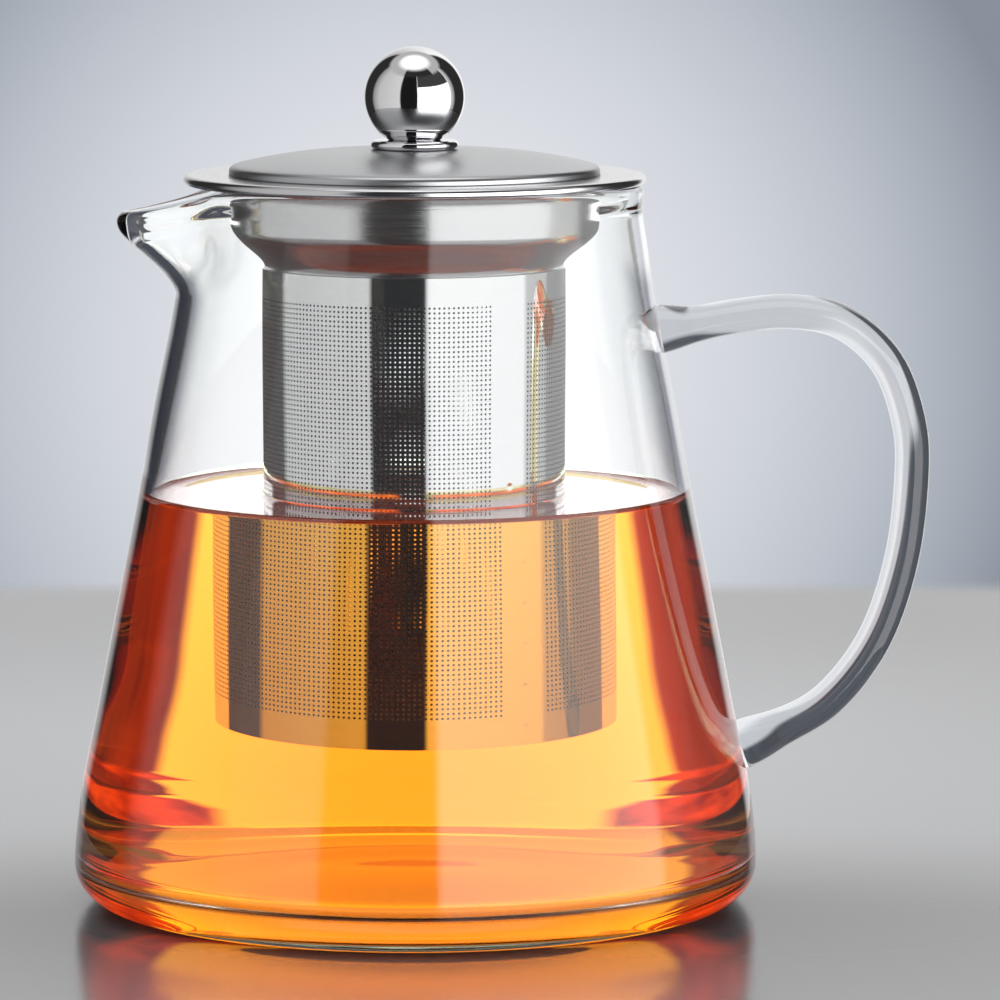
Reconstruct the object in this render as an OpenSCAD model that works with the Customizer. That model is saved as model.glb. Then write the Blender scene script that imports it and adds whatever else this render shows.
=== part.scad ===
// Glass infuser teapot: a borosilicate jug with a pinched spout and a fused glass
// handle, a lift-out steel infuser and a lift-off steel lid with a ball knob.
// Millimetres. Origin at the centre of the flat foot, spout towards -X,
// handle towards +X, +Z up.

/* [Glass jug] */
// Radius of the flat foot the pot stands on
foot_r = 59.6; // [56:0.1:61]
// Largest outer radius, just above the foot
belly_r = 67.4; // [65:0.1:70]
// Outer radius at the neck
neck_r = 44.4; // [44:0.1:45]
// Thickness of the blown wall
wall = 2.2; // [1.8:0.1:2.6]
// Thickness of the floor
floor_t = 3.2; // [2.6:0.1:4.5]
// Radius of the rounded bead along the rim
rim_bead = 1.5; // [1.4:0.05:1.7]

/* [Spout] */
// How far the lip reaches out beyond the neck
spout_reach = 12.6; // [8:0.1:14]
// How far the tip of the lip lies below the rim
spout_drop = 6.0; // [4:0.1:7]
// Half width of the spout, as an angle seen from above
spout_half_angle = 13; // [10:0.5:15]
// Depth of the two pinches beside the spout
pinch_depth = 1.3; // [0:0.1:1.6]

/* [Handle] */
// Thickness of the glass handle, seen from the side
handle_t = 6.8; // [5:0.1:8]
// Width of the glass handle, seen from behind
handle_w = 12; // [8:0.5:15]
// How much thicker the two fused ends are
handle_flare = 3.0; // [0:0.1:4]

/* [Infuser] */
// Outer radius of the rolled flange that rests on the glass rim
flange_r = 45.2; // [44.6:0.1:46]
// Thickness of the steel sheet of flange and collar
sheet = 0.7; // [0.5:0.1:0.8]
// Outer radius of the collar below the flange
collar_r = 36.2; // [35.9:0.1:36.5]
// Outer radius of the perforated sleeve
sleeve_r = 29.7; // [27:0.1:31]
// Thickness of the perforated sheet
sleeve_t = 0.5; // [0.3:0.1:0.6]
// Height of the underside of the infuser above the table
sleeve_z = 33.5; // [28:0.5:60]

/* [Lid] */
// Outer radius of the domed lid
lid_r = 36.3; // [36.1:0.1:37.5]
// Thickness of the lid sheet
lid_sheet = 0.8; // [0.6:0.1:0.9]
// Radius of the ball knob
knob_r = 9.85; // [8:0.05:11]
// Radius of the polished ring under the ball
ring_r = 8.6; // [7:0.1:9]

/* [Hidden] */
$fn = 96;

rim_z = 141.3;              // top of the glass rim
join_z = 119.5;             // below this the jug is a plain turned shape
corner_r = belly_r - foot_r;
steel = [0.78, 0.78, 0.8];
polished = [0.9, 0.9, 0.92];

// Height against share of the way from neck radius to belly radius.
jug_taper = [[8, 1], [10.5, 0.996], [18.5, 0.961], [38, 0.796], [58, 0.626], [78, 0.452],
    [98, 0.291], [119.5, 0.108], [130, 0.0435], [134, 0.0174], [138.5, 0], [145, 0]];
function outer_r(z) = neck_r + (belly_r - neck_r) * lookup(z, jug_taper);

function smooth(x) = let (s = min(1, max(0, x))) s * s * (3 - 2 * s);
function bell(x, width) = exp(-(x / width) * (x / width));
function side(a) = abs(a - 180);   // angle away from the spout

// Wall of the plain lower part: outer side going up, inner side coming down.
lower_z = [for (p = jug_taper) if (p[0] > corner_r && p[0] <= join_z) p[0]];
function corner(radius, t) = [foot_r + radius * sin(t), corner_r - radius * cos(t)];
module lower_wall_profile() {
    outer = [for (z = lower_z) [outer_r(z), z]];
    inner = [for (i = [len(lower_z) - 1:-1:1]) [outer_r(lower_z[i]) - wall, lower_z[i]]];
    inner_corner = corner_r - floor_t;
    polygon(concat([[0, 0]],
        [for (t = [0:12:84]) corner(corner_r, t)],
        [[belly_r, corner_r]],
        outer, inner,
        [for (t = [84:-12:0]) [foot_r + inner_corner * sin(t), corner_r - inner_corner * cos(t)]],
        [[0, floor_t]]));
}

// Middle of the glass wall round the neck, with the spout pulled out of it.
function mid_r(a, z) = outer_r(z) - wall / 2
    + spout_reach * bell(side(a), spout_half_angle) * smooth((z - join_z) / 15)
    - pinch_depth * bell(side(a) - 27, 9) * bell(z - 128, 5.5) * smooth((z - join_z) / 4);
function mid(a, z) = [mid_r(a, z) * cos(a), mid_r(a, z) * sin(a), z];
function unit(v) = v / norm(v);
function along(a, z) = mid(a + 0.05, z) - mid(a - 0.05, z);
function upward(a, z) = unit(mid(a, z + 0.05) - mid(a, z - 0.05));
function outward(a, z) = unit(cross(along(a, z), upward(a, z)));

function lip_z(a) = rim_z - rim_bead - spout_drop * bell(side(a), 20);
function lip_bead(a) = rim_bead + 0.6 * bell(side(a), 12);
half = wall / 2 - 0.05;
function half_wall(a, t) = half + (lip_bead(a) - half) * smooth((t - 0.86) / 0.14);

// Closed cross-section of the neck wall at one angle.
neck_start = join_z - 4;
rows = [0, 0.13, 0.2, 0.27, 0.34, 0.41, 0.48, 0.55, 0.62, 0.69, 0.76, 0.82, 0.88, 0.94];
function row_z(a, t) = neck_start + (lip_z(a) - neck_start) * t;
function wall_point(a, t, sign) =
    mid(a, row_z(a, t)) + sign * half_wall(a, t) * outward(a, row_z(a, t));
function bead_point(a, turn) = mid(a, lip_z(a))
    + lip_bead(a) * (cos(turn) * outward(a, lip_z(a)) + sin(turn) * upward(a, lip_z(a)));
function neck_section(a) = concat(
    [for (t = rows) wall_point(a, t, 1)],
    [for (turn = [0:30:180]) bead_point(a, turn)],
    [for (i = [len(rows) - 1:-1:0]) wall_point(a, rows[i], -1)]);

module closed_ring(sections) {
    n = len(sections);
    m = len(sections[0]);
    points = [for (s = sections) each s];
    faces = [for (i = [0:n - 1]) for (j = [0:m - 1]) let (
        a = i * m + j,
        b = i * m + (j + 1) % m,
        c = ((i + 1) % n) * m + (j + 1) % m,
        d = ((i + 1) % n) * m + j)
        each [[a, b, c], [a, c, d]]];
    polyhedron(points, faces, convexity = 6);
}

neck_angles = concat([for (a = [0:5:135]) a], [for (a = [138:3:222]) a],
    [for (a = [225:5:355]) a]);

module glass_body() color([0.85, 0.92, 0.95, 0.4]) union() {
    rotate_extrude() lower_wall_profile();
    closed_ring([for (a = neck_angles) neck_section(a)]);
}

// Solid glass handle: centre line in the XZ plane, from the upper joint to the lower one.
handle_line = [[41, 112], [52.4, 113.2], [63, 115.2], [74, 116.1], [84.2, 113.8], [92.6, 106.2],
    [96.9, 95], [97.7, 84], [95.8, 67.2], [90.5, 51.3], [81.5, 39.4], [70.5, 33], [57, 27.5]];
function curve(p, q, r, s, t) = 0.5 * (2 * q + (r - p) * t
    + (2 * p - 5 * q + 4 * r - s) * t * t + (3 * q - p - 3 * r + s) * t * t * t);
function line_at(i) = handle_line[max(0, min(len(handle_line) - 1, i))];
function path(u) = let (i = min(floor(u), len(handle_line) - 2), t = u - i)
    curve(line_at(i - 1), line_at(i), line_at(i + 1), line_at(i + 2), t);
function path_dir(u) = unit(path(u + 0.02) - path(u - 0.02));
function path_grow(u) = handle_flare
    * (bell(u - 0.55, 0.55) + bell(u - (len(handle_line) - 1.5), 0.55));
function handle_section(u) = let (p = path(u), d = path_dir(u), g = path_grow(u))
    [for (k = [0:15:345]) let (x = (handle_t + g) / 2 * cos(k), y = (handle_w + 1.4 * g) / 2 * sin(k))
        [p[0] - x * d[1], y, p[1] + x * d[0]]];

module swept(sections) {
    n = len(sections);
    m = len(sections[0]);
    points = [for (s = sections) each s];
    sides = [for (i = [0:n - 2]) for (j = [0:m - 1]) let (
        a = i * m + j,
        b = i * m + (j + 1) % m,
        c = (i + 1) * m + (j + 1) % m,
        d = (i + 1) * m + j)
        each [[a, b, c], [a, c, d]]];
    polyhedron(points, concat(sides,
        [[for (j = [m - 1:-1:0]) j], [for (j = [0:m - 1]) (n - 1) * m + j]]), convexity = 4);
}

module glass_handle() color([0.85, 0.92, 0.95, 0.4]) difference() {
    swept([for (u = [0.3:0.28:len(handle_line) - 1.25]) handle_section(u)]);
    rotate_extrude() polygon(concat([[0, corner_r]],
        [for (z = lower_z) [outer_r(z), z]],
        [[outer_r(130), 130], [0, 130]]));
}

// Spun steel collar: hemmed flange, straight collar, funnel and spigot.
flange_top = 143.2;
hem_t = flange_top - rim_z;
funnel_z = 133;
sleeve_top = 125;
spigot_z = 120;
sleeve_in = sleeve_r - sleeve_t;
function funnel(t) = let (s = smooth(t))
    [collar_r + (sleeve_in - collar_r) * s, funnel_z + (sleeve_top - funnel_z) * t];
module infuser_collar() color(polished) rotate_extrude() {
    hem_mid = rim_z + hem_t / 2;
    polygon(concat(
        [[collar_r - sheet, flange_top]],
        [for (t = [90:-22.5:-90]) [flange_r - hem_t / 2 + hem_t / 2 * cos(t),
            hem_mid + hem_t / 2 * sin(t)]],
        [[flange_r - 2.8, rim_z], [flange_r - 2.8, flange_top - sheet],
            [collar_r, flange_top - sheet]],
        [for (t = [0:0.125:1]) funnel(t)],
        [[sleeve_in, spigot_z], [sleeve_in - sheet, spigot_z]],
        [for (t = [1:-0.125:0]) funnel(t) - [sheet, 0]]));
}

module infuser_sleeve() color(steel) difference() {
    translate([0, 0, sleeve_z]) cylinder(r = sleeve_r, h = sleeve_top - sleeve_z);
    translate([0, 0, sleeve_z - 1]) cylinder(r = sleeve_in, h = sleeve_top - sleeve_z + 2);
}

cup_h = 14;
module infuser_base() color(steel) rotate_extrude() polygon([
    [0, sleeve_z + 0.3], [sleeve_in - 0.8, sleeve_z + 0.3], [sleeve_in, sleeve_z + 1.1],
    [sleeve_in, sleeve_z + cup_h], [sleeve_in - sleeve_t, sleeve_z + cup_h],
    [sleeve_in - sleeve_t, sleeve_z + 1.3], [sleeve_in - 1, sleeve_z + 0.8],
    [0, sleeve_z + 0.8]]);

// Domed lid: outside profile from the edge to the flat round the knob.
pad_z = 148;
pad_r = 9.4;
screw_r = 2.5;
dome_out = [[lid_r, flange_top], [lid_r, flange_top + 0.9], [lid_r - 0.35, flange_top + 1.45],
    [lid_r - 1.6, flange_top + 1.95], [30.3, 146.05], [20, 147.3], [pad_r, pad_z]];
dome_in = [for (p = [dome_out[4], dome_out[5], dome_out[6]]) p - [0, lid_sheet]];
dome_seat = [lid_r - lid_sheet, flange_top + 0.9];
module lid_dome() color(steel) difference() {
    rotate_extrude() polygon(concat(dome_out, [[0, pad_z], [0, pad_z - lid_sheet]],
        [dome_in[2], dome_in[1], dome_in[0], dome_seat, [lid_r - lid_sheet, flange_top]]));
    translate([0, 0, pad_z - 5]) cylinder(r = screw_r + 0.3, h = 10);
}

// Locating ring welded under the dome; it drops into the collar.
skirt_r = 34.9;
skirt_z = 136;
function under_dome(r) = dome_seat[1]
    + (dome_in[0][1] - dome_seat[1]) * (dome_seat[0] - r) / (dome_seat[0] - dome_in[0][0]);
module lid_skirt() color(steel) rotate_extrude() polygon([
    [skirt_r, skirt_z], [skirt_r, under_dome(skirt_r)],
    [skirt_r - 0.6, under_dome(skirt_r - 0.6)], [skirt_r - 0.6, skirt_z]]);

// Knob: polished ring, ball, and the screw with its washer under the lid.
ring_h = 1.8;
ball_z = 158.2;
module knob_ring() color(polished) difference() {
    translate([0, 0, pad_z]) rotate_extrude() polygon(concat([[0, 0]],
        [for (t = [-90:22.5:90]) [ring_r - ring_h / 2 + ring_h / 2 * cos(t),
            ring_h / 2 + ring_h / 2 * sin(t)]],
        [[0, ring_h]]));
    translate([0, 0, pad_z - 1]) cylinder(r = screw_r + 0.3, h = ring_h + 2);
}

bore_top = 157;
module knob_ball() color(polished) difference() {
    translate([0, 0, ball_z]) sphere(r = knob_r);
    translate([0, 0, pad_z + ring_h - 20]) cylinder(r = knob_r + 5, h = 20);
    translate([0, 0, pad_z]) cylinder(r = screw_r, h = bore_top - pad_z);
}

washer_t = 0.8;
washer_top = pad_z - lid_sheet;
module knob_washer() color(steel) difference() {
    translate([0, 0, washer_top - washer_t]) cylinder(r = 6, h = washer_t);
    translate([0, 0, washer_top - washer_t - 1]) cylinder(r = screw_r + 0.3, h = washer_t + 2);
}

head_h = 2.6;
head_top = washer_top - washer_t;
module knob_screw() color(steel) difference() {
    union() {
        translate([0, 0, head_top - head_h]) rotate_extrude() polygon([[0, 0], [3.2, 0],
            [4.1, 0.5], [4.5, 1.3], [4.5, head_h], [0, head_h]]);
        translate([0, 0, head_top - 1]) cylinder(r = screw_r, h = bore_top - 0.8 - head_top + 1);
    }
    for (turn = [0, 90])
        rotate([0, 0, turn])
            translate([-2.6, -0.45, head_top - head_h - 1]) cube([5.2, 0.9, 2.5]);
}

glass_body();
glass_handle();
infuser_collar();
infuser_sleeve();
infuser_base();
lid_dome();
lid_skirt();
knob_ring();
knob_ball();
knob_screw();
knob_washer();
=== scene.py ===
"""Looks for the glass infuser teapot: blown glass, tea, perforated steel and studio light.

Lengths in the shape tables are in millimetres and are scaled once, when a mesh is made.
"""

import math

import bpy
import numpy as np
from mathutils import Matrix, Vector


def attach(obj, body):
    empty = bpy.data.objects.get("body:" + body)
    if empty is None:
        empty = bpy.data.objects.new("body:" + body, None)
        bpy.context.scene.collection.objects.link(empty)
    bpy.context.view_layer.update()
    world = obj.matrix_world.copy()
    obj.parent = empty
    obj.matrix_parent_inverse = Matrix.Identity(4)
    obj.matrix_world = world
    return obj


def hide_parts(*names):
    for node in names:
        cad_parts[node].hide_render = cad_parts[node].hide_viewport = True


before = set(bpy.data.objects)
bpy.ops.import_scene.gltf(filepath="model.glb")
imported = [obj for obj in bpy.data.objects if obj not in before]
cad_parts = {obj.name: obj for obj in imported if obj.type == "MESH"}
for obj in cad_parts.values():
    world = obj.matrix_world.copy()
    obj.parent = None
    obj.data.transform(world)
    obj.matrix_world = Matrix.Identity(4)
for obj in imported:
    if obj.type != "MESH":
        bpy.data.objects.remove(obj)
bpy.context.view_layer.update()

MM = 0.001
scene = bpy.context.scene


# ---------------------------------------------------------------- mesh helpers

def make_piece(name, points, faces, sharp_angle=40, material=None):
    """A mesh object from points in millimetres, facing outwards, smooth except at sharp edges."""
    mesh = bpy.data.meshes.new(name)
    mesh.from_pydata((np.asarray(points) * MM).tolist(), [], faces)
    mesh.validate()
    mesh.calc_loop_triangles()
    corners = np.empty(len(mesh.loop_triangles) * 3, int)
    mesh.loop_triangles.foreach_get("vertices", corners)
    a, b, c = np.asarray(points)[corners].reshape(-1, 3, 3).transpose(1, 0, 2)
    six_volumes = np.einsum("ij,ij->", a, np.cross(b, c))
    if six_volumes < 0:
        mesh.flip_normals()
    mesh.polygons.foreach_set("use_smooth", [True] * len(mesh.polygons))
    mesh.set_sharp_from_angle(angle=math.radians(sharp_angle))
    piece = bpy.data.objects.new(name, mesh)
    scene.collection.objects.link(piece)
    if material:
        mesh.materials.append(material)
    return piece


def lathe(name, profile, turns=192, closed=True, **kw):
    """Turns (radius, height) points about Z. A radius of 0 becomes one point on the axis."""
    angles = np.linspace(0, 2 * math.pi, turns, endpoint=False)
    points, rings = [], []
    for radius, height in profile:
        if radius < 1e-6:
            rings.append([len(points)])
            points.append((0, 0, height))
        else:
            rings.append(list(range(len(points), len(points) + turns)))
            points += [(radius * math.cos(a), radius * math.sin(a), height) for a in angles]
    faces = []
    pairs = list(zip(rings, rings[1:] + rings[:1])) if closed else list(zip(rings, rings[1:]))
    for low, high in pairs:
        if len(low) == 1 and len(high) == 1:
            continue
        for i in range(turns):
            j = (i + 1) % turns
            if len(low) == 1:
                faces.append((low[0], high[j], high[i]))
            elif len(high) == 1:
                faces.append((low[i], low[j], high[0]))
            else:
                faces.append((low[i], low[j], high[j], high[i]))
    return make_piece(name, points, faces, **kw)


def arc(centre, radius, start, end, steps):
    """Points on a circle in the (radius, height) plane, angles in degrees."""
    return [(centre[0] + radius * math.cos(math.radians(t)),
             centre[1] + radius * math.sin(math.radians(t)))
            for t in np.linspace(start, end, steps)]


def smooth(x):
    """Rises smoothly from 0 at 0 to 1 at 1."""
    s = np.clip(x, 0, 1)
    return s * s * (3 - 2 * s)


def bell(x, width):
    """1 at 0, falling away on both sides."""
    return np.exp(-(x / width) ** 2)


# ---------------------------------------------------------------- shape of the glass

# Radii of the flat foot, the widest part and the neck. A round corner joins the first two.
FOOT_R, BELLY_R, NECK_R = 59.6, 67.4, 44.4
CORNER_R = BELLY_R - FOOT_R
WALL, FLOOR_T = 2.2, 3.2
RIM_Z, RIM_BEAD, JOIN_Z = 141.3, 1.5, 119.5
# The lip sticks out and drops by these lengths. Its width is an angle. Beside it the wall is pinched.
SPOUT_REACH, SPOUT_DROP, SPOUT_WIDTH = 12.6, 6.0, 13.0
PINCH = 1.3
TEA_Z = 80.0

# How much of the step from the neck's radius to the belly's is left at each height.
TAPER_Z = np.array([7.8, 10.5, 18.5, 38, 58, 78, 98, 119.5, 130, 134, 138.5, 145])
TAPER_K = np.array([1, 0.996, 0.961, 0.796, 0.626, 0.452, 0.291, 0.108, 0.0435, 0.0174, 0, 0])
TAPER_SLOPE = np.gradient(TAPER_K, TAPER_Z)
TAPER_SLOPE[0] = 0


def outer_r(z):
    """Outer radius of the plain jug: a cubic through the taper's points."""
    z = np.clip(z, TAPER_Z[0], TAPER_Z[-1])
    i = np.clip(np.searchsorted(TAPER_Z, z, side="right") - 1, 0, len(TAPER_Z) - 2)
    span = TAPER_Z[i + 1] - TAPER_Z[i]
    t = (z - TAPER_Z[i]) / span
    k = ((2 * t ** 3 - 3 * t ** 2 + 1) * TAPER_K[i] + (t ** 3 - 2 * t ** 2 + t) * span * TAPER_SLOPE[i]
         + (3 * t ** 2 - 2 * t ** 3) * TAPER_K[i + 1] + (t ** 3 - t ** 2) * span * TAPER_SLOPE[i + 1])
    return NECK_R + (BELLY_R - NECK_R) * k


def side(angle):
    """Degrees away from the spout."""
    return np.abs(np.degrees(np.arctan2(np.sin(angle - math.pi), np.cos(angle - math.pi))))


def mid_wall(angle, z):
    """Middle of the glass wall, with the spout pulled out and pinched."""
    s = side(angle)
    r = (outer_r(z) - WALL / 2
         + SPOUT_REACH * bell(s, SPOUT_WIDTH) * smooth((z - JOIN_Z) / 15)
         - PINCH * bell(s - 27, 9) * bell(z - 128, 5.5) * smooth((z - JOIN_Z) / 4))
    return np.stack([r * np.cos(angle), r * np.sin(angle), z], -1)


def unit(v):
    return v / np.linalg.norm(v, axis=-1, keepdims=True)


def wall_frame(angle, z):
    """Point, outward normal and upward tangent of the middle of the wall."""
    step = 0.02
    around = mid_wall(angle + 0.001, z) - mid_wall(angle - 0.001, z)
    up = unit(mid_wall(angle, z + step) - mid_wall(angle, z - step))
    return mid_wall(angle, z), unit(np.cross(around, up)), up


def lip_z(angle):
    """Height of the middle of the bead at the rim."""
    return RIM_Z - RIM_BEAD - SPOUT_DROP * bell(side(angle), 20)


def lip_bead(angle):
    """Half the thickness of the bead, which is fullest at the tip of the lip."""
    return RIM_BEAD + 0.6 * bell(side(angle), 12)


def floor_z(radius):
    """Height of the inside floor: pressed glass is thicker in the middle, with soft rings."""
    return FLOOR_T + 1.3 * bell(radius, 24) + 0.35 * bell(radius - 36, 7)


WAVE_OUTSIDE, WAVE_INSIDE = 0.7, 2.6


def wave(angle, z, phase):
    """The slight unevenness of a blown wall."""
    return (0.05 * np.sin(3 * angle + z / 17 + phase) * np.sin(z / 23 + 2 * phase)
            + 0.035 * np.sin(5 * angle - z / 29 + 3 * phase))


def wall_side(angle, t, sign):
    """A ring of points on the outer (+1) or inner (-1) side of the wall, t from 0 to 1 upwards."""
    top = lip_z(angle)
    z = CORNER_R + (top - CORNER_R) * t
    point, out, _ = wall_frame(angle, z)
    bead = smooth((t - 0.965) / 0.035)
    half = WALL / 2 + (lip_bead(angle) - WALL / 2) * bead
    fade = smooth(t * 12) * smooth((1 - t) * 12)
    half = half + fade * wave(angle, z, WAVE_OUTSIDE if sign > 0 else WAVE_INSIDE)
    return point + sign * half[:, None] * out


JUG_TURNS = 320


def circle(angle, radius, height):
    """A ring of points about the pot's axis."""
    return np.stack([radius * np.cos(angle), radius * np.sin(angle), 0 * angle + height], -1)


def jug_angles():
    """Columns round the jug, closer together at the spout."""
    even = np.linspace(0, 2 * math.pi, JUG_TURNS, endpoint=False)
    return even + 0.6 * np.sin(even)


def make_jug(material):
    angle = jug_angles()
    n = len(angle)
    rings = [circle(angle, r * FOOT_R, 0) for r in (0.35, 0.7, 0.9)]
    rings += [circle(angle, r, z) for r, z in arc((FOOT_R, CORNER_R), CORNER_R, -90, 0, 16)[:-1]]
    heights = np.concatenate([np.linspace(0, 0.8, 56), np.linspace(0.81, 1, 40)])
    rings += [wall_side(angle, t, 1) for t in heights]
    point, out, up = wall_frame(angle, lip_z(angle))
    for turn in np.radians(np.linspace(0, 180, 15))[1:-1]:
        rings.append(point + lip_bead(angle)[:, None] * (math.cos(turn) * out + math.sin(turn) * up))
    rings += [wall_side(angle, t, -1) for t in heights[::-1]]
    inner_corner = CORNER_R - FLOOR_T
    rings += [circle(angle, r, z) for r, z in arc((FOOT_R, CORNER_R), inner_corner, 0, -90, 12)[1:]]
    rings += [circle(angle, r, floor_z(r)) for r in FOOT_R * np.linspace(0.95, 0.08, 24)]
    points = np.concatenate(rings)
    bottom, top = len(points), len(points) + 1
    points = np.concatenate([points, [[0, 0, 0], [0, 0, floor_z(0.0)]]])
    j = np.arange(n)
    k = (j + 1) % n
    faces = [(bottom, int(b), int(a)) for a, b in zip(j, k)]
    for i in range(len(rings) - 1):
        low, high = i * n, (i + 1) * n
        faces += np.stack([low + j, low + k, high + k, high + j], -1).tolist()
    last = (len(rings) - 1) * n
    faces += [(last + int(a), last + int(b), top) for a, b in zip(j, k)]
    jug = make_piece("jug", points, faces, sharp_angle=80, material=material)
    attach(jug, "pot")
    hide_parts("glass_body")
    return jug


# Centre line of the handle in the XZ plane, from the upper joint to the lower one.
HANDLE_LINE = np.array([
    (41, 112), (52.4, 113.2), (63, 115.2), (74, 116.1), (84.2, 113.8), (92.6, 106.2), (96.9, 95),
    (97.7, 84), (95.8, 67.2), (90.5, 51.3), (81.5, 39.4), (70.5, 33), (57, 27.5)], float)
HANDLE_T, HANDLE_W, HANDLE_FLARE = 6.8, 12.0, 3.0
FUSED_DEPTH = 0.35      # how far the ends go into the jug's wall


def handle_path(u):
    """A smooth curve through the centre line; u counts its points."""
    last = len(HANDLE_LINE) - 1
    i = np.clip(np.floor(u).astype(int), 0, last - 1)
    t = (u - i)[:, None]
    p, q, r, s = (HANDLE_LINE[np.clip(i + d, 0, last)] for d in (-1, 0, 1, 2))
    return 0.5 * (2 * q + (r - p) * t + (2 * p - 5 * q + 4 * r - s) * t ** 2
                  + (3 * q - p - 3 * r + s) * t ** 3)


def crossing(u, clear, i):
    """Where the clearance passes 0 between the samples i and i + 1."""
    return u[i] + (u[i + 1] - u[i]) * clear[i] / (clear[i] - clear[i + 1])


def make_handle(material):
    last = len(HANDLE_LINE) - 1
    u = np.linspace(0.15, last - 0.1, 900)
    centre = handle_path(u)
    ahead = unit(handle_path(u + 0.01) - handle_path(u - 0.01))
    flare = HANDLE_FLARE * (bell(u - 0.55, 0.5) + bell(u - (last - 0.5), 0.5))
    lines = []
    for k in np.radians(np.arange(0, 360, 7.5)):
        across = (HANDLE_T + flare) / 2 * math.cos(k)
        y = np.full(len(u), HANDLE_W / 2 * math.sin(k))
        line = np.stack([centre[:, 0] - across * ahead[:, 1], y,
                         centre[:, 1] + across * ahead[:, 0]], -1)
        clear = np.hypot(line[:, 0], line[:, 1]) - (outer_r(line[:, 2]) - FUSED_DEPTH)
        outside = np.nonzero(clear > 0)[0]
        first, final = outside[0], outside[-1]
        at = np.linspace(crossing(u, clear, first - 1), crossing(u, clear, final), 140)
        lines.append(np.stack([np.interp(at, u, line[:, c]) for c in range(3)], -1))
    grid = np.stack(lines)                       # (round, along, xyz)
    rounds, steps = grid.shape[:2]
    points = grid.transpose(1, 0, 2).reshape(-1, 3)
    faces = []
    j = np.arange(rounds)
    k = (j + 1) % rounds
    for i in range(steps - 1):
        low, high = i * rounds, (i + 1) * rounds
        faces += np.stack([low + j, low + k, high + k, high + j], -1).tolist()
    # each end is closed inside the jug's wall
    caps = []
    for ring, flip in ((0, True), (steps - 1, False)):
        middle = points[ring * rounds:(ring + 1) * rounds].mean(0)
        middle[0] = outer_r(middle[2]) - FUSED_DEPTH
        tip = len(points) + len(caps)
        caps.append(middle)
        for a, b in zip(j, k):
            a, b = ring * rounds + int(a), ring * rounds + int(b)
            faces.append((tip, b, a) if flip else (tip, a, b))
    points = np.concatenate([points, caps])
    handle = make_piece("handle", points, faces, sharp_angle=50, material=material)
    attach(handle, "pot")
    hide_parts("glass_handle")
    return handle


# ---------------------------------------------------------------- tea

SLEEVE_R, SLEEVE_T, SLEEVE_Z, SLEEVE_TOP = 29.7, 0.45, 33.5, 125.0
TEA_OVERLAP = 0.15


def inner_r(z):
    """Inner radius of the jug. The wall leans, so it is a little thicker when measured level."""
    return outer_r(z) - WALL * math.sqrt(1 + 0.19 ** 2)


def make_tea(material):
    """The tea fills the jug and reaches a little into the glass, so no air lies between."""
    level_r = float(inner_r(TEA_Z)) + TEA_OVERLAP
    profile = [(0, floor_z(0.0) - TEA_OVERLAP)]
    profile += [(r, floor_z(r) - TEA_OVERLAP) for r in FOOT_R * np.linspace(0.08, 0.95, 24)]
    profile += arc((FOOT_R, CORNER_R), CORNER_R - FLOOR_T + TEA_OVERLAP, -90, 0, 12)
    profile += [(float(inner_r(z)) + TEA_OVERLAP, z) for z in np.linspace(CORNER_R + 2, TEA_Z + 1.2, 60)]
    # the surface climbs a little where it meets the glass and the sleeve
    for r in np.concatenate([level_r - 0.12 * 1.22 ** np.arange(1, 19),
                             np.linspace(SLEEVE_R + 3, SLEEVE_R - 3.5, 27), [22, 14, 6]]):
        rise = 1.5 * math.exp(-(level_r - r) / 1.2) + 0.7 * math.exp(-abs(r - SLEEVE_R + 0.25) / 0.8)
        profile.append((r, TEA_Z + rise))
    profile.append((0, TEA_Z))
    tea = lathe("tea", profile, turns=288, closed=False, sharp_angle=60, material=material)
    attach(tea, "pot")
    return tea


# ---------------------------------------------------------------- steel

# The strip without holes is as wide as STRIP_COLUMNS of the columns. SECTORS pieces hold the rest.
COLUMNS, STRIP_COLUMNS, ROWS = 199, 9, 86
PITCH_A = 2 * math.pi / COLUMNS
HOLE_R = 0.235
SECTORS = 5
STRIP_MID = math.radians(-90 + 38.6)     # the plain strip faces front right
BAND_LOW = 5.6          # the plain band under the lowest row
WELD_PITCH, WELD_R, WELD_DEPTH = 7.9, 0.4, 0.06


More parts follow.
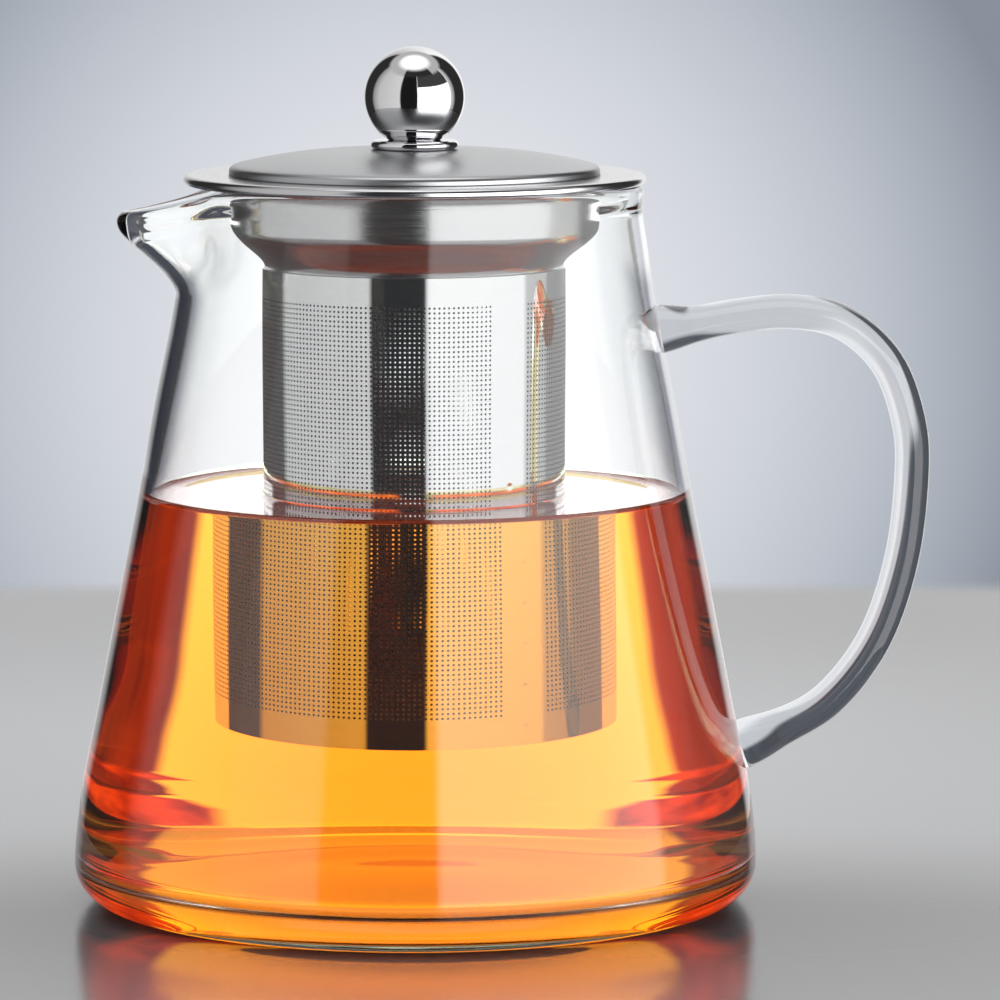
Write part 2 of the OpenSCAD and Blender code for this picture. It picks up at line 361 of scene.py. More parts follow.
def sheet_cells(name, first_angle, columns, material):
    """A piece of the sleeve with real round holes: a plain band, rows of holes, a plain band."""
    pitch = SLEEVE_R * PITCH_A
    low = SLEEVE_Z + BAND_LOW
    heights = [SLEEVE_Z] + [low + pitch * i / 2 for i in range(2 * ROWS + 1)] + [SLEEVE_TOP]
    edge_a = first_angle + PITCH_A * np.arange(2 * columns + 1) / 2
    across, up = len(edge_a), len(heights)
    grid_a, grid_z = np.meshgrid(edge_a, heights, indexing="ij")
    col, row = np.meshgrid(np.arange(columns), np.arange(ROWS), indexing="ij")
    turn = np.radians(np.arange(8) * 45 + 225)
    hole_a = (first_angle + PITCH_A * (col[..., None] + 0.5) + HOLE_R / SLEEVE_R * np.cos(turn)).ravel()
    hole_z = (low + pitch * (row[..., None] + 0.5) + HOLE_R * np.sin(turn)).ravel()
    flat_a = np.concatenate([grid_a.ravel(), hole_a])
    flat_z = np.concatenate([grid_z.ravel(), hole_z])
    layers = [np.stack([r * np.cos(flat_a), r * np.sin(flat_a), flat_z], -1)
              for r in (SLEEVE_R, SLEEVE_R - SLEEVE_T)]
    size = len(flat_a)
    hole_start = across * up

    def at(i, j):
        return i * up + j

    # each cell is a square of eight edge points round an eight-sided hole
    faces = []
    i, j = (2 * col).ravel(), (2 * row + 1).ravel()
    square = [at(i, j), at(i + 1, j), at(i + 2, j), at(i + 2, j + 1),
              at(i + 2, j + 2), at(i + 1, j + 2), at(i, j + 2), at(i, j + 1)]
    hole = hole_start + 8 * np.arange(columns * ROWS)
    for s in range(8):
        e = (s + 1) % 8
        outer = np.stack([square[s], square[e], hole + e, hole + s], -1)
        faces.append(outer)
        faces.append(outer[:, ::-1] + size)
        faces.append(np.stack([hole + s, hole + e, hole + e + size, hole + s + size], -1))
    # the plain bands, then the four narrow edges of the sheet
    i = np.arange(across - 1)
    for j in (0, up - 2):
        band = np.stack([at(i, j), at(i + 1, j), at(i + 1, j + 1), at(i, j + 1)], -1)
        faces += [band, band[:, ::-1] + size]
    bottom = np.stack([at(i, 0), at(i, 0) + size, at(i + 1, 0) + size, at(i + 1, 0)], -1)
    top = np.stack([at(i, up - 1), at(i + 1, up - 1), at(i + 1, up - 1) + size, at(i, up - 1) + size], -1)
    j = np.arange(up - 1)
    left = np.stack([at(0, j), at(0, j + 1), at(0, j + 1) + size, at(0, j) + size], -1)
    e = across - 1
    right = np.stack([at(e, j), at(e, j) + size, at(e, j + 1) + size, at(e, j + 1)], -1)
    faces += [bottom, top, left, right]
    faces = np.concatenate(faces).tolist()
    return make_piece(name, np.concatenate(layers), faces, sharp_angle=35, material=material)


def seam_strip(name, first_angle, columns, material):
    """The plain lapped strip of the sleeve, with a row of spot-weld dimples."""
    a = first_angle + np.linspace(0, PITCH_A * columns, 37)
    z = np.linspace(SLEEVE_Z, SLEEVE_TOP, 357)
    grid_a, grid_z = np.meshgrid(a, z, indexing="ij")
    middle = (a[0] + a[-1]) / 2
    dent = 0
    for weld_z in np.arange(SLEEVE_Z + 3.4, SLEEVE_TOP, WELD_PITCH):
        reach = np.hypot((grid_a - middle) * SLEEVE_R, grid_z - weld_z)
        dent = dent + WELD_DEPTH * bell(reach, WELD_R)
    layers = []
    for r in (SLEEVE_R - dent, SLEEVE_R - SLEEVE_T + 0 * grid_a):
        layers.append(np.stack([r * np.cos(grid_a), r * np.sin(grid_a), grid_z], -1).reshape(-1, 3))
    up, size = len(z), len(a) * len(z)
    i, j = (g.ravel() for g in np.meshgrid(np.arange(len(a) - 1), np.arange(up - 1), indexing="ij"))
    face = np.stack([i * up + j, (i + 1) * up + j, (i + 1) * up + j + 1, i * up + j + 1], -1)
    faces = [face, face[:, ::-1] + size]
    i = np.arange(len(a) - 1)
    for j, flip in ((0, 1), (up - 1, -1)):
        rim = np.stack([i * up + j, i * up + j + size, (i + 1) * up + j + size, (i + 1) * up + j], -1)
        faces.append(rim[:, ::flip])
    j = np.arange(up - 1)
    for i, flip in ((0, 1), (len(a) - 1, -1)):
        rim = np.stack([i * up + j, i * up + j + 1, i * up + j + 1 + size, i * up + j + size], -1)
        faces.append(rim[:, ::flip])
    return make_piece(name, np.concatenate(layers), np.concatenate(faces).tolist(),
                      sharp_angle=35, material=material)


def make_sleeve(material):
    """Pieces with holes all the way round, but for the plain strip."""
    start = STRIP_MID + PITCH_A * STRIP_COLUMNS / 2
    columns = (COLUMNS - STRIP_COLUMNS) // SECTORS
    pieces = [sheet_cells(f"sleeve_{s + 1}", start + s * columns * PITCH_A, columns, material)
              for s in range(SECTORS)]
    pieces.append(seam_strip("sleeve_seam", STRIP_MID - PITCH_A * STRIP_COLUMNS / 2,
                             STRIP_COLUMNS, material))
    for piece in pieces:
        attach(piece, "infuser")
        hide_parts("infuser_sleeve")
    return pieces


FLANGE_R, FLANGE_TOP, SHEET, COLLAR_R = 45.2, 143.2, 0.7, 36.2
FUNNEL_Z, SPIGOT_Z, SLEEVE_IN = 133.0, 120.0, 29.2


def funnel(inset, downward):
    """The collar's outline from its straight wall in to the sleeve, or back up."""
    t = np.linspace(0, 1, 18)
    r = COLLAR_R + (SLEEVE_IN - COLLAR_R) * smooth(t) - inset
    z = FUNNEL_Z + (SLEEVE_TOP - FUNNEL_Z) * t
    points = list(zip(r.tolist(), z.tolist()))
    return points if downward else points[::-1]


def make_collar(material):
    hem = (FLANGE_TOP - RIM_Z) / 2
    outline = [(COLLAR_R - SHEET, FLANGE_TOP - 0.5), (COLLAR_R - SHEET + 0.2, FLANGE_TOP - 0.12),
               (COLLAR_R - SHEET + 0.6, FLANGE_TOP)]
    outline += [(r, FLANGE_TOP) for r in (39, 41.5, 43.4)]
    outline += arc((FLANGE_R - hem, RIM_Z + hem), hem, 88, -88, 15)
    outline += [(FLANGE_R - 2.4, RIM_Z), (FLANGE_R - 2.7, RIM_Z + 0.1), (FLANGE_R - 2.8, RIM_Z + 0.4),
                (FLANGE_R - 2.8, FLANGE_TOP - SHEET), (COLLAR_R + 0.9, FLANGE_TOP - SHEET),
                (COLLAR_R + 0.3, FLANGE_TOP - SHEET - 0.25), (COLLAR_R, FLANGE_TOP - SHEET - 0.9)]
    outline += funnel(0, True) + [(SLEEVE_IN, SPIGOT_Z), (SLEEVE_IN - SHEET, SPIGOT_Z)]
    outline += funnel(SHEET, False)
    collar = lathe("collar", outline, turns=256, sharp_angle=40, material=material)
    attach(collar, "infuser")
    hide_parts("infuser_collar")
    return collar


CUP_H, CUP_SHEET, DRAIN_R = 14, 0.5, 0.3


def make_base(material):
    """The cup that closes the sleeve: its floor has rings of drain holes."""
    wall = SLEEVE_IN - 0.02
    inner = wall - CUP_SHEET
    low, high = SLEEVE_Z + 0.3, SLEEVE_Z + 0.3 + CUP_SHEET
    sectors, radii = 72, np.linspace(9, 25.8, 13)
    points, faces = [], []

    def add(r, a, z):
        points.append((r * math.cos(a), r * math.sin(a), z))
        return len(points) - 1

    def ring(r, z, count=2 * sectors):
        return [add(r, 2 * math.pi * i / count, z) for i in range(count)]

    def join(low_ring, high_ring):
        n = len(low_ring)
        for i in range(n):
            j = (i + 1) % n
            faces.append((low_ring[i], low_ring[j], high_ring[j], high_ring[i]))

    edges = {z: [ring(r, z) for r in radii] for z in (low, high)}
    middles = {z: [ring((a + b) / 2, z, sectors) for a, b in zip(radii, radii[1:])] for z in (low, high)}
    hub = {z: add(0, 0, z) for z in (low, high)}
    count = 2 * sectors
    for i in range(count):
        j = (i + 1) % count
        faces.append((hub[low], edges[low][0][j], edges[low][0][i]))
        faces.append((hub[high], edges[high][0][i], edges[high][0][j]))
    # each cell of the floor is a square of eight edge points round an eight-sided hole
    for band in range(len(radii) - 1):
        r = (radii[band] + radii[band + 1]) / 2
        for s in range(sectors):
            middle = 2 * math.pi * (s + 0.5) / sectors
            a, b, c = 2 * s, 2 * s + 1, (2 * s + 2) % count
            loops = {}
            for z in (low, high):
                inner_edge, outer_edge = edges[z][band], edges[z][band + 1]
                side_mid = middles[z][band]
                square = [inner_edge[a], inner_edge[b], inner_edge[c], side_mid[(s + 1) % sectors],
                          outer_edge[c], outer_edge[b], outer_edge[a], side_mid[s]]
                hole = [add(r + DRAIN_R * math.sin(t), middle + DRAIN_R / r * math.cos(t), z)
                        for t in np.radians(np.arange(8) * 45 + 225)]
                loops[z] = hole
                for k in range(8):
                    e = (k + 1) % 8
                    quad = (square[k], square[e], hole[e], hole[k])
                    faces.append(quad if z == low else quad[::-1])
            for k in range(8):
                e = (k + 1) % 8
                faces.append((loops[low][k], loops[low][e], loops[high][e], loops[high][k]))
    top = SLEEVE_Z + CUP_H
    outside = [(27.6, low), (28.6, low + 0.25), (29.05, low + 0.75), (wall, low + 1.3), (wall, top - 0.1),
               (wall - 0.1, top), (inner + 0.1, top), (inner, top - 0.1), (inner, high + 1.4),
               (inner - 0.4, high + 0.45), (27.2, high)]
    previous = edges[low][-1]
    for r, z in outside:
        this = ring(r, z)
        join(this, previous)
        previous = this
    join(edges[high][-1], previous)
    base = make_piece("base_cup", points, faces, sharp_angle=35, material=material)
    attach(base, "infuser")
    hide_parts("infuser_base")
    return base


LID_R, LID_SHEET, PAD_Z, PAD_R = 36.3, 0.8, 148.0, 9.4
DOME_R, DOME_FOOT_Z = LID_R - 1.6, FLANGE_TOP + 1.95


def dome_height(r):
    """Outside of the dome: steep at the edge, nearly flat under the knob."""
    t = np.clip((DOME_R - r) / (DOME_R - PAD_R), 0, 1)
    return DOME_FOOT_Z + (PAD_Z - DOME_FOOT_Z) * (1 - (1 - t) ** 2.1)


def make_dome(material):
    edge = [(LID_R - 0.12, FLANGE_TOP), (LID_R, FLANGE_TOP + 0.12), (LID_R, FLANGE_TOP + 0.7)]
    edge += [(LID_R - 0.12, FLANGE_TOP + 1.1), (LID_R - 0.38, FLANGE_TOP + 1.42),
             (LID_R - 0.85, FLANGE_TOP + 1.7)]
    radii = np.linspace(DOME_R, PAD_R, 30)
    outside = [(float(r), float(dome_height(r))) for r in radii]
    hole = 2.8
    outline = edge + outside + [(hole, PAD_Z), (hole, PAD_Z - LID_SHEET)]
    outline += [(float(r), float(dome_height(r)) - LID_SHEET) for r in radii[::-1]]
    outline += [(LID_R - LID_SHEET, FLANGE_TOP + 0.9), (LID_R - LID_SHEET, FLANGE_TOP)]
    dome = lathe("dome", outline, turns=256, sharp_angle=40, material=material)
    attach(dome, "lid")
    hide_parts("lid_dome")
    return dome


KNOB_R, BALL_Z, RING_R, RING_H = 9.85, 158.2, 8.6, 1.8


def make_knob(material):
    bore, bore_top = 2.5, 157
    seat = PAD_Z + RING_H
    start = math.degrees(math.asin((seat - BALL_Z) / KNOB_R))
    outline = [(bore, bore_top), (bore, seat)] + arc((0, BALL_Z), KNOB_R, start, 90, 72)[:-1]
    outline += [(0, BALL_Z + KNOB_R), (0, bore_top)]
    ball = lathe("ball", outline, turns=160, sharp_angle=40, material=material)
    ring_hole, land_r = 2.8, 5.6
    ring_outline = [(ring_hole, PAD_Z)]
    ring_outline += arc((RING_R - RING_H / 2, PAD_Z + RING_H / 2), RING_H / 2, -90, 90, 17)
    ring_outline += [(land_r, seat), (ring_hole, seat)]
    ring = lathe("knob_collar", ring_outline, turns=160, sharp_angle=50, material=material)
    for piece, replaced in ((ball, "knob_ball"), (ring, "knob_ring")):
        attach(piece, "lid")
        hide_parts(replaced)
    return ball, ring


# ---------------------------------------------------------------- node maths

class Value:
    """A number in a node tree. Arithmetic and comparisons with it add Math nodes."""

    def __init__(self, tree, socket):
        self.tree = tree
        self.socket = socket

    def __add__(self, other):
        return maths(self.tree, "ADD", self, other)

    def __sub__(self, other):
        return maths(self.tree, "SUBTRACT", self, other)

    def __rsub__(self, other):
        return maths(self.tree, "SUBTRACT", other, self)

    def __mul__(self, other):
        return maths(self.tree, "MULTIPLY", self, other)

    def __truediv__(self, other):
        return maths(self.tree, "DIVIDE", self, other)

    def __abs__(self):
        return maths(self.tree, "ABSOLUTE", self)

    def __gt__(self, other):
        return maths(self.tree, "GREATER_THAN", self, other)

    def __lt__(self, other):
        return maths(self.tree, "LESS_THAN", self, other)

    def at_least(self, other):
        return maths(self.tree, "MAXIMUM", self, other)


def plug(tree, value, socket):
    """Sets a socket to a number or a colour, or links a Value or another socket to it."""
    if isinstance(value, Value):
        tree.links.new(value.socket, socket)
    elif isinstance(value, (int, float)):
        socket.default_value = value
    elif isinstance(value, tuple):
        socket.default_value = (*value, 1)
    else:
        tree.links.new(value, socket)


def maths(tree, operation, a, b=None):
    """A Math node of one or two inputs."""
    new = tree.nodes.new("ShaderNodeMath")
    new.operation = operation
    plug(tree, a, new.inputs[0])
    if b is not None:
        plug(tree, b, new.inputs[1])
    return Value(tree, new.outputs[0])


def node(tree, kind, **values):
    """A node with some of its inputs or settings given."""
    new = tree.nodes.new(kind)
    for key, value in values.items():
        if key in new.inputs:
            new.inputs[key].default_value = value
        else:
            setattr(new, key, value)
    return new


def map_range(value, low, high, to_low=0.0, to_high=1.0, kind="LINEAR"):
    """Takes low..high to to_low..to_high and stays at the nearer end outside."""
    new = node(value.tree, "ShaderNodeMapRange", interpolation_type=kind)
    new.inputs["From Min"].default_value = low
    new.inputs["From Max"].default_value = high
    new.inputs["To Min"].default_value = to_low
    new.inputs["To Max"].default_value = to_high
    plug(value.tree, value, new.inputs["Value"])
    return Value(value.tree, new.outputs[0])


def soft_step(value, middle, width):
    """0 below the step, 1 above it, smooth over its width."""
    return map_range(value, middle - width / 2, middle + width / 2, kind="SMOOTHSTEP")


def window(value, low, high, soft):
    """1 between low and high, falling to 0 over soft on each side."""
    return (map_range(value, low - soft, low, kind="SMOOTHSTEP")
            * map_range(value, high + soft, high, kind="SMOOTHSTEP"))


def mix_value(fac, a, b):
    """A mix of two numbers or Values."""
    new = node(fac.tree, "ShaderNodeMix", data_type="FLOAT")
    for socket, value in zip((new.inputs[0], new.inputs[2], new.inputs[3]), (fac, a, b)):
        plug(fac.tree, value, socket)
    return Value(fac.tree, new.outputs[0])


def mix_colour(fac, a, b):
    """A mix of two colours, each a socket or three numbers."""
    new = node(fac.tree, "ShaderNodeMix", data_type="RGBA")
    for socket, value in zip((new.inputs[0], new.inputs[6], new.inputs[7]), (fac, a, b)):
        plug(fac.tree, value, socket)
    return new.outputs[2]


def mix_shader(fac, a, b):
    new = node(fac.tree, "ShaderNodeMixShader")
    for socket, value in zip(new.inputs, (fac, a, b)):
        plug(fac.tree, value, socket)
    return new.outputs[0]


def scale_colour(colour, strength):
    """A colour made lighter or darker by a Value."""
    new = node(strength.tree, "ShaderNodeVectorMath", operation="SCALE")
    plug(strength.tree, colour, new.inputs[0])
    plug(strength.tree, strength, new.inputs["Scale"])
    return new.outputs[0]


def split(tree, vector):
    """The three parts of a vector."""
    parts = node(tree, "ShaderNodeSeparateXYZ")
    plug(tree, vector, parts.inputs[0])
    return [Value(tree, part) for part in parts.outputs]


def place(tree):
    """The point being shaded, in the object's own frame."""
    return node(tree, "ShaderNodeTexCoord").outputs["Object"]


def polar(tree):
    """Radius, angle and height of a point about the pot's axis."""
    x, y, z = split(tree, place(tree))
    return maths(tree, "SQRT", x * x + y * y), maths(tree, "ARCTAN2", y, x), z


def noise(tree, where, scale, detail, roughness):
    new = node(tree, "ShaderNodeTexNoise", Scale=scale, Detail=detail, Roughness=roughness)
    plug(tree, where, new.inputs["Vector"])
    return Value(tree, new.outputs["Fac"])


def from_noise(value, low, high):
    """Most of a noise lies between 0.3 and 0.7: takes that to low..high."""
    return map_range(value, 0.3, 0.7, low, high)


def grain(tree, scale_r, scale_a, scale_z):
    """Noise stretched along the turning direction, like the marks of spinning and polishing."""
    where = node(tree, "ShaderNodeCombineXYZ")
    for socket, value, scale in zip(where.inputs, polar(tree), (scale_r, scale_a, scale_z)):
        plug(tree, value * scale, socket)
    return noise(tree, where.outputs[0], 1.0, 3.0, 0.6)


# ---------------------------------------------------------------- materials

def material(name):
    """A new node material and its Principled shader."""
    mat = bpy.data.materials.new(name)
    mat.use_nodes = True
    return mat, mat.node_tree, mat.node_tree.nodes["Principled BSDF"]


def add_relief(tree, shader, height, strength, depth):
    """Fine bumps on a surface."""
    relief = node(tree, "ShaderNodeBump", Strength=strength, Distance=depth)
    plug(tree, height, relief.inputs["Height"])
    plug(tree, relief.outputs[0], shader.inputs["Normal"])


GRAIN_DEPTH = 0.02 * MM


def steel(name, tone, roughness, grain_scale, relief, brushed=0.0):
    """Spun or polished steel. The grain shows in its tone, its roughness and its relief."""
    mat, tree, shader = material(name)
    marks = grain(tree, *grain_scale)
    darker = tuple(0.93 * t for t in tone)
    plug(tree, mix_colour(marks, darker, tone), shader.inputs["Base Color"])
    plug(tree, from_noise(marks, *roughness), shader.inputs["Roughness"])
    add_relief(tree, shader, marks, relief, GRAIN_DEPTH)
    shader.inputs["Metallic"].default_value = 1.0
    shader.inputs["Anisotropic"].default_value = brushed
    return mat


def perforated_steel():
    """Etched sheet: polished on the outside of the tube, matt in the holes and on the inside, and darker
    there: partly the etched finish, partly painted shade.
    """
    mat, tree, shader = material("sheet_steel")
    radius, _, _ = polar(tree)
    hidden = radius < (SLEEVE_R - 0.08) * MM
    marks = grain(tree, 1500, 3, 2500)
    polished = mix_colour(marks, (0.63, 0.63, 0.64), (0.69, 0.69, 0.70))
    # darker inside and in the holes: partly the matt etched finish, partly painted shade
    matt_and_shaded = mix_colour(marks, (0.46, 0.46, 0.47), (0.52, 0.52, 0.53))
    roughness = mix_value(hidden, from_noise(marks, 0.03, 0.06), from_noise(marks, 0.4, 0.5))
    plug(tree, mix_colour(hidden, polished, matt_and_shaded), shader.inputs["Base Color"])
    plug(tree, roughness, shader.inputs["Roughness"])
    shader.inputs["Metallic"].default_value = 1.0
    return mat


def clear_material(name, tint, ior, ripple_scale, ripple_roughness, ripple, depth):
    """Something clear and smooth whose surface ripples a little."""
    mat, tree, shader = material(name)
    shader.inputs["Base Color"].default_value = (*tint, 1)
    shader.inputs["Transmission Weight"].default_value = 1.0
    shader.inputs["Roughness"].default_value = 0.0
    shader.inputs["IOR"].default_value = ior
    height = noise(tree, place(tree), ripple_scale, 1.0, ripple_roughness)
    add_relief(tree, shader, height, ripple, depth)
    return mat, tree, shader


GLASS_TINT, PAINTED_EDGE_SHADE = (0.985, 0.995, 0.992), (0.22, 0.23, 0.27)


def glass(name):
    """Clear borosilicate with the faint ripple of blown glass."""
    return clear_material(name, GLASS_TINT, ior=1.47, ripple_scale=38.0, ripple_roughness=0.4,
                          ripple=0.12, depth=0.0004)


def wall_glass():
    """The jug's glass. Above the tea its colour is darkened where the wall is seen edge on: painted shade
    in place of the dark surroundings seen in the glass's edges.
    """
    mat, tree, shader = glass("clear_glass")
    facing = Value(tree, node(tree, "ShaderNodeLayerWeight", Blend=0.5).outputs["Facing"])
    _, _, height = polar(tree)
    empty = window(height, (TEA_Z + 4) * MM, 122 * MM, 6 * MM)
    # painted shade: the glass's colour darkens where the wall is seen edge on
    dark = soft_step(facing, 0.67, 0.22) * empty
    plug(tree, mix_colour(dark, GLASS_TINT, PAINTED_EDGE_SHADE), shader.inputs["Base Color"])
    return mat


def tea_material():
    """Clear black tea: amber where it is thin, red where it is deep."""
    mat, tree, _ = clear_material("tea", (1, 1, 1), ior=1.335, ripple_scale=25.0,
                                  ripple_roughness=0.3, ripple=0.05, depth=0.0003)
    volume = node(tree, "ShaderNodeVolumeAbsorption", Density=42.0)
    volume.inputs["Color"].default_value = (0.991, 0.69, 0.04, 1)
    plug(tree, volume.outputs[0], tree.nodes["Material Output"].inputs["Volume"])
    return mat


# ---------------------------------------------------------------- studio, in metres and degrees

FLOOR_Z = -0.0002
HORIZON_Y = 0.48        # the table's far edge
NEAR_FLOOR = 0.17       # past this, only the camera sees the table
UNDER_POT = 0.075       # this part of the table glows with painted light, in place of light through the tea
TEA_GLOW_PAINTED_ON_TABLE = (1.0, 0.27, 0.005, 1)


def painted_table_shade(x, y, radius, outward):
    """Painted shade on the table: a painted shadow close to the pot in front, and painted darkening far
    away and on the right.
    """
    nearness = radius / 0.16
    close = maths(x.tree, "EXPONENT", nearness * nearness * -1.0)
    front = 1.0 - soft_step(y, 0.03, 0.12)
    far = soft_step(outward, 0.3, 0.28)
    right = soft_step(x, 0.08, 0.12)
    return (1.0 - front * close * 0.9 - far * 0.5 - right * 0.25).at_least(0.0)


def table_material():
    mat, tree, shader = material("table")
    where = place(tree)
    x, y, _ = split(tree, where)
    radius, _, _ = polar(tree)
    outward = abs(x).at_least(abs(y))
    for diagonal in (x + y, x - y):
        outward = outward.at_least(abs(diagonal * math.sqrt(0.5)))
    mottle = mix_colour(noise(tree, where, 9.0, 4.0, 0.5), (0.53, 0.545, 0.57), (0.56, 0.575, 0.60))
    # painted shade: a painted shadow in front of the pot, darker far off and on the right
    painted_shade = painted_table_shade(x, y, radius, outward)
    plug(tree, scale_colour(mottle, painted_shade), shader.inputs["Base Color"])
    shader.inputs["Roughness"].default_value = 0.16
    shader.inputs["IOR"].default_value = 1.35

    # rays bent by the glass see no table, but for the part under the pot, which glows with painted light
    # in the colour of the tea
    path = node(tree, "ShaderNodeLightPath").outputs
    camera, through = Value(tree, path["Is Camera Ray"]), Value(tree, path["Is Transmission Ray"])
    under = through * (radius < UNDER_POT)
    past = (radius > NEAR_FLOOR) * (1.0 - camera)
    edge = soft_step(outward, HORIZON_Y - 0.02, 0.035)
    unseen = past.at_least(edge).at_least(through) - under
    # painted light: under the pot the table glows in the tea's colour, though it is no lamp
    glow = node(tree, "ShaderNodeEmission", Color=TEA_GLOW_PAINTED_ON_TABLE, Strength=0.22)
    surface = mix_shader(under, shader.outputs[0], glow.outputs[0])
    surface = mix_shader(unseen, surface, node(tree, "ShaderNodeBsdfTransparent").outputs[0])
    plug(tree, surface, tree.nodes["Material Output"].inputs["Surface"])
    return mat


def make_floor():
    """A pale, slightly glossy table top with eight sides. Its far edge is the horizon."""
    corner = (HORIZON_Y + 0.02) / math.cos(math.pi / 8)
    turns = [math.radians(22.5 + 45 * i) for i in range(8)]
    points = [(corner * math.cos(t), corner * math.sin(t), FLOOR_Z) for t in turns]
    mesh = bpy.data.meshes.new("floor")
    mesh.from_pydata(points, [], [tuple(range(8))])
    mesh.materials.append(table_material())
    floor = bpy.data.objects.new("floor", mesh)
    scene.collection.objects.link(floor)


# Azimuth (degrees from the front, to the right) against light, at eye level.
DIRECT = [(-180, 0.95), (-158, 0.6), (-152, 0.03), (-112, 0.03), (-106, 0.35), (-88, 0.65),
          (-34, 0.8), (-31, 0.012), (7, 0.012), (10, 3.3), (90, 3.0), (94, 0.7), (101, 0.5),
          (108, 0.03), (152, 0.03), (158, 1.2), (180, 0.95)]
# The same ring as the steel inside the jug sees it: wider panels, none as bright.
THROUGH = [(-180, 0.08), (-155, 0.08), (-118, 0.08), (-112, 0.8), (-60, 0.9), (-34, 1.0),
           (-31, 0.012), (7, 0.012), (10, 1.4), (90, 1.4), (94, 0.75), (117, 0.65), (121, 0.32),
           (180, 0.32)]
BRIGHTEST = 3.3
DEGREES = 180 / math.pi


class Ray:
    """Where a ray goes that leaves the scene, in degrees, and what it has been through."""

    def __init__(self, tree):
        self.tree = tree
        self.direction = node(tree, "ShaderNodeTexCoord").outputs["Generated"]
        x, y, z = split(tree, self.direction)
        self.azimuth = maths(tree, "ARCTAN2", x, y * -1.0) * DEGREES      # 0 towards the camera
        self.behind = maths(tree, "ARCTAN2", x, y) * DEGREES              # 0 away from the camera
        self.beside = abs(self.behind)
        self.elevation = maths(tree, "ARCSINE", z) * DEGREES
        path = node(tree, "ShaderNodeLightPath").outputs
        self.camera = Value(tree, path["Is Camera Ray"])
        self.through = Value(tree, path["Is Transmission Ray"])
        self.mirrored = Value(tree, path["Glossy Depth"]) > 0.5
        # surfaces crossed: 2 for the handle, 4 for the jug's two walls, 6 or more with the tea
        crossed = Value(tree, path["Transmission Depth"])
        self.in_pot = crossed > 3.5
        self.in_tea = crossed > 5.5
        self.in_pot_and_handle = crossed > 7.5


def ring_of_light(azimuth, points):
    """The light at each azimuth, as a ramp between the listed points."""
    panels = node(azimuth.tree, "ShaderNodeValToRGB")
    stops = panels.color_ramp.elements
    while len(stops) < len(points):
        stops.new(0.5)
    for stop, (degree, light) in zip(stops, points):
        stop.position = (degree + 180) / 360
        stop.color = (light / BRIGHTEST,) * 3 + (1,)
    plug(azimuth.tree, azimuth / 360.0 + 0.5, panels.inputs[0])
    return Value(azimuth.tree, panels.outputs[0]) * BRIGHTEST


def room_light(ray):
    """The studio's panels, ceiling and overhead light, as a grey level."""
    level = mix_value(ray.through, ring_of_light(ray.azimuth, DIRECT), ring_of_light(ray.azimuth, THROUGH))
    # the bright right panel ends lower than the others, and the space above it is dark
    over_right = window(ray.azimuth, 9, 92, 1) * (1.0 - window(ray.elevation, -60, 22, 3))
    level = mix_value(over_right, level, 0.06)
    # the ceiling is grey and darker in front, and a big soft light hangs overhead
    ceiling = mix_value(window(ray.azimuth, -31, 60, 6), 0.55, 0.03)
    level = mix_value(map_range(ray.elevation, 46, 52), level, ceiling)
    level = mix_value(map_range(ray.elevation, 60, 74, kind="SMOOTHSTEP"), level, 1.6)
    # steel under the collar looks down into shade
    return level * (1.0 - map_range(ray.elevation, -18, -30) * ray.through * 0.6)


def glints(ray):
    """The panel behind the pot, mirrored in the tea's surface and along the sleeve in the tea."""
    in_surface = soft_step(ray.elevation, 2, 3) * (1.0 - soft_step(ray.beside, 42, 8))
    grazing = 1.0 - soft_step(ray.beside, 24, 4)
    return mix_value(ray.in_tea, in_surface * 2.6, grazing * 1.6) * ray.mirrored * ray.through


def tea_edges(ray):
    """Light at the sides of the tea: swirls of red and amber, dim low down, brighter below that."""
    swirl = from_noise(noise(ray.tree, ray.direction, 5.0, 2.0, 0.5), 0, 1)
    strength = (soft_step(ray.elevation, -13.5, 8) * 0.75
                + (1.0 - soft_step(ray.elevation, -30, 12)) * 1.2 + 0.45)
    return scale_colour(mix_colour(swirl, (0.35, 0.03, 0.0), (1.5, 0.28, 0.0)), strength)


def seen_through_pot(ray, level):
    """A bright panel behind the pot, dark gaps beside it, and round them the room on the steel."""
    spread = map_range(abs(ray.elevation + 2.0), 3, 12)
    left_edge, right_edge = -17.5 - spread * 13.0, spread * 12.0 + 16.5
    on_panel = soft_step(ray.behind - left_edge, 0, 4) * soft_step(right_edge - ray.behind, 0, 4)
    # only rays that no steel has turned see the panel; the tea also turns some steep ones
    turned_by_tea = ray.in_tea * (ray.elevation > 0.0).at_least(ray.elevation < -32.0)
    straight = (1.0 - ray.mirrored).at_least(turned_by_tea)
    reach = mix_value(ray.in_tea, 55.0, 165.0)
    in_gap = soft_step(reach - ray.beside, 0, 10) * straight

    steel_tint = mix_colour(ray.in_tea, (1.0, 1.0, 1.0), (1.3, 1.15, 0.6))
    gap = mix_colour(ray.in_tea, (0.07, 0.07, 0.08), tea_edges(ray))
    panel = mix_colour(soft_step(ray.elevation, 2, 10), (2.4, 2.8, 2.4), (2.9, 3.4, 1.6))
    panel = mix_colour(ray.in_tea, (1.08, 1.1, 1.13), panel)
    seen = mix_colour(in_gap, scale_colour(steel_tint, level), gap)
    seen = mix_colour(on_panel * straight, seen, panel)
    return mix_colour(ray.in_pot_and_handle, seen, (0.32, 0.33, 0.35))


def seen_through_handle(ray):
    """The backdrop, with a dark board on the left and a lit one on the right."""
    lit = window(ray.behind, 10, 100, 6)
    dark = window(ray.behind, -110, -3.5, 3) * window(ray.elevation, -60, 50, 8)
    seen = mix_colour(lit, (0.57, 0.59, 0.63), (0.86, 0.88, 0.92))
    return mix_colour(dark, seen, (0.07, 0.077, 0.095))


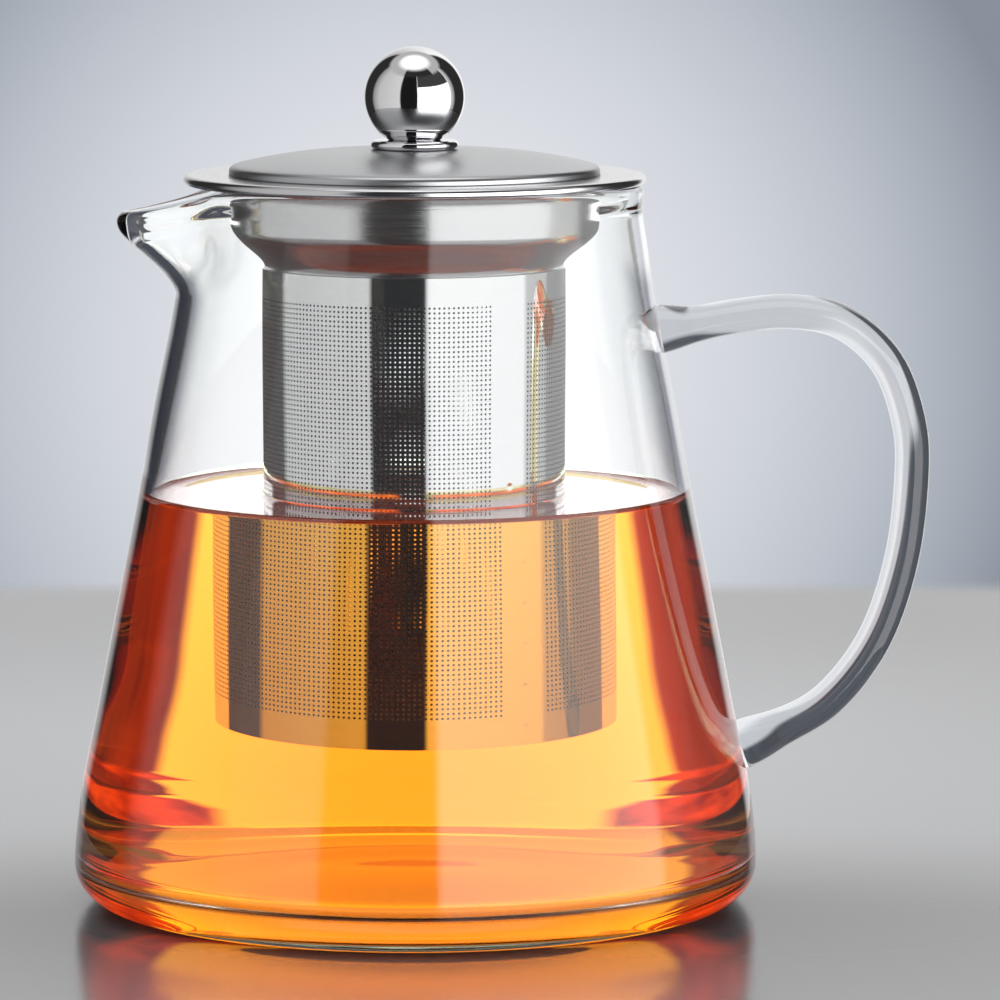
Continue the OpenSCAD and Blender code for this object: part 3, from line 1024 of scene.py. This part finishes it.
def backdrop(ray):
    """A soft round glow that fades to the sides, the same every 45 degrees."""
    brightest, darkest, falloff = 0.81, 0.285, 0.0162
    share, centre_azimuth, centre_elevation = 45.0, 0.64, -5.55
    turned = ray.azimuth + (180 + share / 2 - centre_azimuth)
    across = maths(ray.tree, "FLOORED_MODULO", turned, share) - share / 2
    rise = ray.elevation - centre_elevation
    glow = (brightest - (across * across + rise * rise) * falloff).at_least(darkest)
    paleness = map_range(glow, darkest, darkest + 0.5)
    tint = mix_colour(paleness, (0.885, 0.985, 1.15), (0.97, 0.99, 1.04))
    return tint, glow


def make_world():
    """Panels and dark gaps round the pot, and a backdrop that only the camera sees."""
    world = bpy.data.worlds.new("studio")
    scene.world = world
    world.use_nodes = True
    tree = world.node_tree
    tree.nodes.clear()
    ray = Ray(tree)
    level = room_light(ray).at_least(glints(ray))
    seen = mix_colour(ray.in_pot, seen_through_handle(ray), seen_through_pot(ray, level))
    light = mix_colour(ray.through, level, seen)

    room = node(tree, "ShaderNodeBackground")
    plug(tree, light, room.inputs["Color"])
    board = node(tree, "ShaderNodeBackground")
    tint, glow = backdrop(ray)
    plug(tree, tint, board.inputs["Color"])
    plug(tree, glow, board.inputs["Strength"])
    out = node(tree, "ShaderNodeOutputWorld")
    plug(tree, mix_shader(ray.camera, room.outputs[0], board.outputs[0]), out.inputs["Surface"])
    world.cycles.sampling_method = "MANUAL"
    world.cycles.sample_map_resolution = 1024


def make_camera():
    """A long lens a little above the pot, looking along +Y."""
    data = bpy.data.cameras.new("camera")
    camera = bpy.data.objects.new("camera", data)
    scene.collection.objects.link(camera)
    data.lens = 228.5
    data.sensor_width = 36
    data.clip_start, data.clip_end = 0.05, 20
    camera.location = (0.0167, -1.24, 0.228)
    aim = Vector((0.0167, 0, 0.0789))
    camera.rotation_mode = "QUATERNION"
    camera.rotation_quaternion = (aim - camera.location).to_track_quat("-Z", "Y")
    scene.camera = camera


# ---------------------------------------------------------------- build

make_camera()
mirror = steel("mirror_steel", (0.80, 0.80, 0.81), (0.03, 0.07), (600, 2, 600), 0.10)
satin = steel("satin_steel", (0.50, 0.505, 0.515), (0.27, 0.34), (9000, 3, 9000), 0.55, brushed=0.5)
spun = steel("spun_steel", (0.62, 0.62, 0.63), (0.12, 0.22), (3000, 2, 7000), 0.45, brushed=0.3)
sheet = perforated_steel()

make_jug(wall_glass())
make_handle(glass("handle_glass")[0])
make_tea(tea_material())
make_sleeve(sheet)
make_collar(spun)
make_base(sheet)
make_dome(satin)
make_knob(mirror)
# these three keep their CAD shape
for name in ("lid_skirt", "knob_screw", "knob_washer"):
    carried_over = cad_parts[name].data.materials
    carried_over.clear()
    carried_over.append(satin)

make_floor()
make_world()

scene.cycles.max_bounces = 32
scene.cycles.transmission_bounces = 28
scene.cycles.glossy_bounces = 24
scene.cycles.diffuse_bounces = 4
scene.cycles.transparent_max_bounces = 24
scene.view_settings.view_transform = "Standard"
